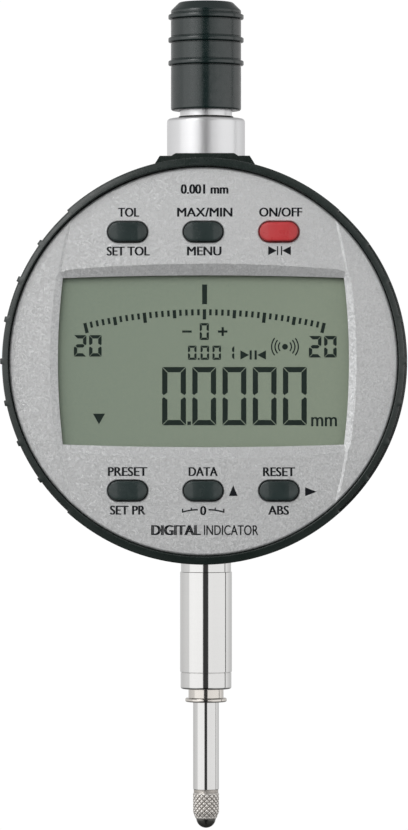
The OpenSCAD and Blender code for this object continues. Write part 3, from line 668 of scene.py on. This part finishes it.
def make_face():
    """The face plate, triangulated between its outlines so that every crease is a true edge."""
    slot_drop, window_gap, spacing = 0.13, 0.01, 1.1
    slots = [key_outline(*place, 0.35) for place in KEY_PLACES]
    lips = [key_outline(*place, 0.6) for place in KEY_PLACES]
    surrounds = [key_outline(*place, 1.2) for place in KEY_PLACES]
    points, edges = [], []

    def add_loop(loop, closed=True):
        base = len(points)
        points.extend(Vector(p) for p in loop)
        pairs = zip(range(len(loop)), list(range(1, len(loop))) + [0])
        edges.extend((base + i, base + j) for i, j in pairs if closed or j)

    for inset in (0, 0.12, EDGE_ROLL):
        add_loop(circle(0, 0, FACE_R - inset, 240))
    add_loop(WINDOW_INNER)
    add_loop(WINDOW_OUTER)
    for loop in slots + lips:
        add_loop(loop)
    crease_low, crease_high, pieces = 13.45, 20.2, 14
    ys = [crease_low + i * (crease_high - crease_low) / pieces for i in range(pieces + 1)]
    for side in (1, -1):
        for up in (1, -1):
            for shift in (0, BAND_RAMP):
                line = [(side * (band_edge(y) - shift), up * y) for y in ys]
                add_loop([p for p in line if math.hypot(*p) < FACE_R - 0.05], closed=False)
    # Points between the outlines, clear of every crease, carry the curve of the dome.
    reach = int(FACE_R / spacing) + 1
    for i in range(-reach, reach + 1):
        for j in range(-reach, reach + 1):
            x, y = (i + 0.5 * (j % 2)) * spacing, j * spacing * 0.866
            clear_of_keys = not any(inside(loop, x, y) for loop in surrounds)
            near_crease = abs(abs(x) - band_edge(y) + BAND_RAMP / 2) < 0.45
            in_window = abs(y) < 15 and abs(x) < 23.3
            if math.hypot(x, y) < FACE_R - 0.6 and clear_of_keys and not near_crease and not in_window:
                points.append(Vector((x, y)))
    flat, _, faces, _, _, _ = delaunay_2d_cdt(points, edges, [], 0, 1e-5)
    kept = []
    for face in faces:
        x = sum(flat[i].x for i in face) / len(face)
        y = sum(flat[i].y for i in face) / len(face)
        if not inside(WINDOW_INNER, x, y) and not any(inside(s, x, y) for s in slots):
            kept.append(face)
    inner = {(round(x, 4), round(y, 4)) for x, y in WINDOW_INNER}
    slot_edge = {(round(x, 4), round(y, 4)) for s in slots for x, y in s}

    def depth(x, y):
        """The face's depth, which falls to the window at its edge and a little at the key slots."""
        spot = (round(x, 4), round(y, 4))
        if spot in inner:
            return LENS_FRONT + window_gap
        return face_height(x, y) - (slot_drop if spot in slot_edge else 0)

    count = len(flat)
    solid = [dial_point(v.x, v.y, depth(v.x, v.y)) for v in flat]
    solid += [dial_point(v.x, v.y, PLATE_REAR) for v in flat]
    sides = dict.fromkeys((i, j) for f in kept for i, j in zip(f, list(f[1:]) + [f[0]]))
    shell = [tuple(f) for f in kept] + [tuple(i + count for i in reversed(f)) for f in kept]
    shell += [(j, i, i + count, j + count) for i, j in sides if (j, i) not in sides]
    piece = put_mesh("face_body", solid, shell, "head", silver_face, 7, ("face_plate",))
    loose = bmesh.new()
    loose.from_mesh(piece.data)
    bmesh.ops.delete(loose, geom=[v for v in loose.verts if not v.link_faces], context="VERTS")
    loose.to_mesh(piece.data)
    loose.free()


def make_key(col, row, name, material):
    """A key: a stadium in plan, crowned about its upright axis, with a rounded edge."""
    cx, cy = col * KEY_PITCH, row * KEY_ROW
    crown_r, top, edge_r = 9.0, 15.58, 0.22
    flange, flange_front, flange_rear = 0.68, 13.8, 13.12
    outline = stadium(0, 0, KEY_W, KEY_H)
    reach = (KEY_W - KEY_H) / 2

    def crown(x):
        return top - crown_r + math.sqrt(crown_r ** 2 - x * x)

    rings = []
    for inset in (KEY_H / 2, 1.0, 0.6, edge_r, edge_r * 0.62, edge_r * 0.29, edge_r * 0.08, 0.0):
        scale = 1 - inset / (KEY_H / 2)
        fall = edge_r - math.sqrt(max(0.0, edge_r ** 2 - max(0.0, edge_r - inset) ** 2))
        ring = []
        for x, y in outline:
            mid = max(-reach, min(reach, x))
            px, py = mid + (x - mid) * scale, y * scale
            ring.append(dial_point(cx + px, cy + py, crown(px) - fall))
        rings.append(ring)
    for grow, level in ((0, flange_front), (flange, flange_front), (flange, flange_rear)):
        wide = stadium(0, 0, KEY_W + 2 * grow, KEY_H + 2 * grow)
        rings.append([dial_point(cx + x, cy + y, level) for x, y in wide])
    n = len(outline)
    points = [p for ring in rings for p in ring]
    faces = []
    for i in range(len(rings) - 1):
        for k in range(n):
            j = (k + 1) % n
            faces.append((i * n + k, i * n + j, (i + 1) * n + j, (i + 1) * n + k))
    # The first ring has shrunk to the key's ridge, and is closed across it. The last is the rear.
    faces += [(k, n - 1 - k, n - 2 - k, k + 1) for k in range(n // 2 - 1)]
    faces.append([len(points) - n + k for k in range(n)])
    put_mesh("key_" + name, points, faces, "key_" + name, material, 40, ("button_" + name,))


# ---- what the display shows ----

def bar(cx, cy, width, height):
    """An upright rectangle, anticlockwise."""
    return [(cx - width / 2, cy - height / 2), (cx + width / 2, cy - height / 2),
            (cx + width / 2, cy + height / 2), (cx - width / 2, cy + height / 2)]


def digit(cx, cy, width, height, thick, lit="abcdef"):
    """Seven segments, mitred where they meet, with fine gaps between them."""
    gap = thick * 0.09
    x, y, t = width / 2, height / 2, thick
    half = t / 2
    shapes = {
        "a": [(-x + gap, y), (-x + t + gap, y - t), (x - t - gap, y - t), (x - gap, y)],
        "d": [(-x + gap, -y), (x - gap, -y), (x - t - gap, -y + t), (-x + t + gap, -y + t)],
        "b": [(x, y - gap), (x - t, y - t - gap), (x - t, half + gap * 2), (x - half * 0.6, gap * 2),
              (x, half * 0.6 + gap * 2)],
        "c": [(x, -y + gap), (x, -half * 0.6 - gap * 2), (x - half * 0.6, -gap * 2),
              (x - t, -half - gap * 2), (x - t, -y + t + gap)],
        "g": [(-x + half, 0), (-x + t, -half), (x - t, -half), (x - half, 0), (x - t, half), (-x + t, half)],
    }
    shapes["f"] = [(-px, py) for px, py in reversed(shapes["b"])]
    shapes["e"] = [(-px, py) for px, py in reversed(shapes["c"])]
    return [[(cx + px, cy + py) for px, py in shapes[s]] for s in lit]


def scale_marks():
    """Forty divisions along a wide arc, every fifth thicker and every tenth longer."""
    arc_r, top, pitch, middle = 80, 7.87, 0.912, 0.14
    marks = []
    for i in range(-20, 21):
        a = i * pitch / arc_r
        length = 1.55 if i % 10 == 0 else 1.25 if i % 5 == 0 else 0.92
        half = (0.52 if i % 5 == 0 else 0.38) / 2
        x, y = middle + arc_r * math.sin(a), top - arc_r * (1 - math.cos(a))
        corners = [(s * half, d * length) for s, d in ((-1, 0), (-1, 1), (1, 1), (1, 0))]
        marks.append([(x + across * math.cos(a) - down * math.sin(a),
                       y - across * math.sin(a) - down * math.cos(a)) for across, down in corners])
    return marks


def wave_mark(cx, cy):
    """The wireless mark: a dot with three arcs on each side."""
    shapes = [circle(cx, cy, 0.44, 20)]
    half, pieces = 0.1, 8
    for r, reach in ((0.98, 42), (1.5, 42), (2.02, 40)):
        for side in (0, 180):
            for k in range(pieces):
                a0 = side - reach + 2 * reach * k / pieces
                a1 = side - reach + 2 * reach * (k + 1) / pieces
                shapes.append(arc(cx, cy, r - half, a0, a1, 1) + arc(cx, cy, r + half, a1, a0, 1))
    return shapes


def play_marks(cx, cy, height, gap, stem):
    """Two arrowheads that point at each other, each with its bar."""
    h, w = height / 2, height * 0.95
    shapes = []
    for s in (-1, 1):
        tip = cx + s * gap / 2
        triangle = [(tip + s * (stem + w), cy - h), (tip + s * stem, cy), (tip + s * (stem + w), cy + h)]
        shapes.append(triangle if s < 0 else triangle[::-1])
        shapes.append(bar(tip + s * stem / 2, cy, stem * 0.75, height))
    return shapes


def make_display():
    """The lit segments of the display."""
    # The pointer and its scale, with a nought, a minus and a plus below it and 20 at each end.
    shapes = [bar(0.17, 10.12, 0.76, 2.98)] + scale_marks()
    shapes += digit(0.12, 4.5, 1.4, 2.54, 0.36)
    shapes += [bar(-2.5, 4.5, 1.45, 0.33), bar(2.9, 4.5, 1.45, 0.33), bar(2.9, 4.5, 0.36, 1.35)]
    for cx, cy in ((-17.5, 2.35), (18.0, 2.2)):
        shapes += digit(cx - 1.15, cy, 1.9, 3.25, 0.52, "abged")
        shapes += digit(cx + 1.15, cy, 1.9, 3.25, 0.52)
    # The step of one division, 0.001, with the tolerance and wireless marks beside it.
    for cx in (-1.7, 0.2, 2.0):
        shapes += digit(cx, 1.3, 1.3, 2.15, 0.34)
    shapes += digit(4.0, 1.3, 1.3, 2.15, 0.34, "bc")
    shapes.append(bar(-0.72, 0.38, 0.3, 0.3))
    shapes += play_marks(7.5, 0.96, 1.4, 0.3, 0.45)
    shapes += wave_mark(12.3, 2.2)
    # The reading: five noughts, the point, and an arrowhead at the left.
    first_digit, digit_pitch = -4.45, 4.56
    for k in range(5):
        shapes += digit(first_digit + digit_pitch * k, -5.25, 3.6, 8.8, 0.8)
    shapes.append(bar(-2.17, -9.35, 0.55, 0.55))
    shapes.append([(-16.72, -7.9), (-15.8, -9.5), (-14.88, -7.9)])
    plates("display_segments", shapes, segment_ink, GLASS_FRONT + 0.004, GLASS_FRONT + 0.012)


# ---- printed legends ----

# Height of the capitals of the built-in font at size 1.
FONT_CAPS = 0.729


def text_shapes(words, centre, cap_height, width, weight, lift, name, material=legend_ink):
    """Words on the head as thin solids, cap_height tall and width wide, lying just above the
    depth that lift gives. Two copies, moved sideways by weight either way, thicken the strokes."""
    thick, above, step = 0.006, 0.01, 0.002
    curve = bpy.data.curves.new(name, "FONT")
    curve.body = words
    curve.resolution_u = 4
    curve.extrude = thick
    draft = bpy.data.objects.new(name, curve)
    bpy.context.scene.collection.objects.link(draft)
    bpy.context.view_layer.update()
    mesh = bpy.data.meshes.new_from_object(draft.evaluated_get(bpy.context.evaluated_depsgraph_get()))
    bpy.data.objects.remove(draft)
    xs, ys = [v.co.x for v in mesh.vertices], [v.co.y for v in mesh.vertices]
    caps = FONT_CAPS if any(c.isupper() or c.isdigit() for c in words) else max(ys)
    scale_y = cap_height / caps
    scale_x = (width - 2 * weight) / (max(xs) - min(xs))
    mid_x, mid_y = (min(xs) + max(xs)) / 2, caps / 2
    points, faces = [], []
    for k, shift in enumerate((-weight, weight)):
        base = len(points)
        for v in mesh.vertices:
            x = centre[0] + shift + (v.co.x - mid_x) * scale_x
            y = centre[1] + (v.co.y - mid_y) * scale_y
            front = thick + step * k if v.co.z > 0 else 0
            points.append(dial_point(x, y, lift(x, y) + above + front))
        faces += [[base + i for i in p.vertices] for p in mesh.polygons]
    bpy.data.meshes.remove(mesh)
    put_mesh(name, points, faces, "head", material)


def make_legends():
    """The generic words and signs by the keys."""
    rows = [
        ("tol", "TOL", -11.25, 22.5, 3.2), ("set_tol", "SET TOL", -11.3, 16.65, 6.5),
        ("max_min", "MAX/MIN", 0.24, 22.5, 8.35), ("menu", "MENU", 0.16, 16.65, 5.2),
        ("on_off", "ON/OFF", 11.67, 22.5, 6.5), ("preset", "PRESET", -11.4, -16.58, 5.95),
        ("set_pr", "SET PR", -11.4, -22.4, 5.35), ("data", "DATA", 0.0, -16.58, 4.4),
        ("scale_zero", "0", 0.0, -22.45, 0.95), ("reset", "RESET", 11.43, -16.6, 4.85),
        ("abs", "ABS", 11.35, -22.4, 3.15)]
    cap_height, weight = 1.42, 0.065
    for key, words, x, y, wide in rows:
        text_shapes(words, (x, y), cap_height, wide, weight, face_height, "legend_" + key)
    text_shapes("0.001 mm", (0.2, 26.0), 1.5, 7.2, 0.08, face_height, "legend_resolution")
    text_shapes("DIGITAL", (-4.1, -25.4), 1.58, 7.5, 0.11, face_height, "legend_kind")
    text_shapes("INDICATOR", (4.2, -25.4), 1.58, 8.2, 0.025, face_height, "legend_kind_2")
    signs = play_marks(11.5, 16.65, 1.35, 0.36, 0.24)
    signs.append([(3.88, -20.3), (5.18, -20.3), (4.53, -18.65)])
    signs.append([(15.35, -20.32), (17.08, -19.65), (15.35, -18.98)])
    # A flat arch on either side of the zero, each drawn in six straight pieces, with two ticks.
    arch_start, arch_span, arch_fall, pieces = 0.8, 2.37, 0.38, 6
    low, high = -22.48, -22.26
    for side in (-1, 1):
        ends = [(arch_start + arch_span * k / pieces, -arch_fall * (k / pieces) ** 2)
                for k in range(pieces + 1)]
        for (x0, y0), (x1, y1) in zip(ends, ends[1:]):
            signs.append([(side * x0, y0 + low), (side * x0, y0 + high),
                          (side * x1, y1 + high), (side * x1, y1 + low)])
        signs.append(bar(side * 3.1, -22.52, 0.2, 0.58))
        signs.append(bar(side * 1.8, -22.28, 0.18, 0.45))
    plates("legend_signs", signs, legend_ink,
           lambda x, y: face_height(x, y) + 0.01, lambda x, y: face_height(x, y) + 0.016)


# ---- light, floor and camera ----

STUDIO_LEVEL = 0.95

# A colour ramp holds levels up to 1, so the levels round the object are stored times RAMP_SHARE.
RAMP_SHARE = 0.5


def shades(world, value, stops):
    """A grey that follows (place, level) stops along a value from 0 to 1."""
    node = add_node(world, "ShaderNodeValToRGB")
    ramp = node.color_ramp
    while len(ramp.elements) > 1:
        ramp.elements.remove(ramp.elements[-1])
    for k, (place, level) in enumerate(stops):
        stop = ramp.elements[0] if k == 0 else ramp.elements.new(place)
        stop.position = place
        stop.color = (level, level, level, 1)
    wire(world, value, node.inputs[0])
    return node.outputs[0]


def product(world, first, second):
    node = add_node(world, "ShaderNodeMix", data_type="RGBA", blend_type="MULTIPLY")
    node.inputs[0].default_value = 1
    wire(world, first, node.inputs[MIX_FIRST])
    wire(world, second, node.inputs[MIX_SECOND])
    return node.outputs[MIX_RESULT]


def make_world():
    """White to the camera. For light and reflections, a ring of soft boxes with dark gaps in
    front and at the reader's right, dimmer above and below."""
    world = bpy.data.worlds.new("studio")
    bpy.context.scene.world = world
    world.use_nodes = True
    world.node_tree.nodes.clear()
    place = add_node(world, "ShaderNodeTexCoord")
    split = add_node(world, "ShaderNodeSeparateXYZ")
    wire(world, place.outputs["Generated"], split.inputs[0])
    ahead = add_node(world, "ShaderNodeMath", operation="MULTIPLY")
    ahead.inputs[1].default_value = -1
    wire(world, split.outputs["Y"], ahead.inputs[0])

    # Azimuth in degrees, 0 in front and positive to the reader's right, and the level there.
    boxes = [(-180, 0.75), (-130, 0.72), (-98, 0.82), (-80, 0.84), (-78, 1.18), (-60, 1.22),
             (-35, 1.2), (-20, 1.2), (-13, 1.15), (-11, 0.05), (11, 0.05), (13, 1.06), (40, 1.04),
             (84, 1.05), (96, 1.03), (97, 0.1), (101, 0.1), (102, 1.0), (125, 0.8), (144, 0.68),
             (180, 0.75)]
    turn = add_node(world, "ShaderNodeMath", operation="ARCTAN2")
    wire(world, split.outputs["X"], turn.inputs[0])
    wire(world, ahead.outputs[0], turn.inputs[1])
    stops = [((degrees + 180) / 360, level * RAMP_SHARE) for degrees, level in boxes]
    around = shades(world, spread(world, turn.outputs[0], 0, 1, -math.pi, math.pi), stops)

    # From straight down at 0 to straight up at 1.
    heights = [(0.0, 0.1), (0.3, 0.2), (0.46, 0.9), (0.5, 1.0), (0.54, 1.0), (0.65, 0.7),
               (0.75, 0.5), (1.0, 0.35)]
    height = shades(world, spread(world, split.outputs["Z"], 0, 1, -1, 1), heights)

    # A cone about the dial's axis is dark, but for a level strip.
    off_level = add_node(world, "ShaderNodeMath", operation="ABSOLUTE")
    wire(world, split.outputs["Z"], off_level.inputs[0])
    open_part = add_node(world, "ShaderNodeMath", operation="MAXIMUM")
    wire(world, spread(world, ahead.outputs[0], 1, 0.12, 0.74, 0.9), open_part.inputs[0])
    wire(world, spread(world, off_level.outputs[0], 1, 0, 0.09, 0.17), open_part.inputs[1])

    light = product(world, product(world, around, height), open_part.outputs[0])
    studio = add_node(world, "ShaderNodeBackground", Strength=STUDIO_LEVEL / RAMP_SHARE)
    wire(world, light, studio.inputs["Color"])
    white = add_node(world, "ShaderNodeBackground", Color=(1, 1, 1, 1), Strength=1.02)
    path = add_node(world, "ShaderNodeLightPath")
    choose = add_node(world, "ShaderNodeMixShader")
    wire(world, path.outputs["Is Camera Ray"], choose.inputs[0])
    wire(world, studio.outputs[0], choose.inputs[1])
    wire(world, white.outputs[0], choose.inputs[2])
    out = add_node(world, "ShaderNodeOutputWorld")
    wire(world, choose.outputs[0], out.inputs[0])


def make_light(name, azimuth, elevation, distance, size, power, mirrored=True):
    """A soft box that faces the dial. Azimuth 0 is in front, and positive to the reader's right.
    One that isn't mirrored lights surfaces but doesn't show in their reflections."""
    light = bpy.data.lights.new(name, "AREA")
    light.shape = "RECTANGLE"
    light.size, light.size_y = size
    light.energy = power
    box = bpy.data.objects.new(name, light)
    bpy.context.scene.collection.objects.link(box)
    a, e = math.radians(azimuth), math.radians(elevation)
    away = Vector((math.sin(a) * math.cos(e), -math.cos(a) * math.cos(e), math.sin(e)))
    target = Vector((0, 0, DIAL_Z * MM))
    box.location = target + away * distance
    box.rotation_mode = "QUATERNION"
    box.rotation_quaternion = away.to_track_quat("Z", "Y")
    box.visible_camera = False
    box.visible_glossy = mirrored


def make_floor():
    """A pale floor that neither lights the dial nor shows in it."""
    half, drop = 5, 0.6
    mesh = bpy.data.meshes.new("floor")
    corners = [(-half, -half, -drop), (half, -half, -drop), (half, half, -drop), (-half, half, -drop)]
    mesh.from_pydata(corners, [], [(0, 1, 2, 3)])
    floor = bpy.data.objects.new("floor", mesh)
    bpy.context.scene.collection.objects.link(floor)
    paint = new_material("pale_floor", (0.9, 0.9, 0.9), 0.8, Emission_Color=(1, 1, 1, 1),
                         Emission_Strength=0.6)
    mesh.materials.append(paint)
    floor.visible_diffuse = False
    floor.visible_glossy = False


def make_camera():
    """Level with the middle of the object, a little to the reader's right of the dial's axis."""
    distance, azimuth, aim_x, aim_z = 0.7, 1.7, -0.31 * MM, (DIAL_Z - 8.1) * MM
    pixels_high, pixels_per_mm = 830, 6.5
    data = bpy.data.cameras.new("camera")
    data.sensor_width = 36
    data.lens = pixels_per_mm * distance / MM * data.sensor_width / pixels_high
    camera = bpy.data.objects.new("camera", data)
    bpy.context.scene.collection.objects.link(camera)
    a = math.radians(azimuth)
    away = Vector((math.sin(a), -math.cos(a), 0))
    camera.location = Vector((aim_x, 0, aim_z)) + away * distance
    camera.rotation_mode = "QUATERNION"
    camera.rotation_quaternion = away.to_track_quat("Z", "Y")
    bpy.context.scene.camera = camera


make_camera()
make_world()
make_light("key_left", -38, 28, 0.7, (0.35, 0.35), 0.8)
make_light("front_fill", -6, 20, 0.8, (0.5, 0.5), 3.8, mirrored=False)
make_floor()
make_cap()
make_collar()
make_guide_tube()
make_shank()
make_sleeve()
make_spindle()
make_contact_point()
make_bezel()
make_face()
for (key_col, key_row), key_name in KEY_PLACES.items():
    make_key(key_col, key_row, key_name, key_red if key_name == "power" else key_grey)
make_display()
text_shapes("mm", (18.2, -9.1), 1.4, 3.9, 0.05, lambda x, y: GLASS_FRONT - 0.004, "display_unit",
            segment_ink)
make_legends()

bpy.context.scene.view_settings.view_transform = "Standard"
bpy.context.scene.view_settings.look = "None"
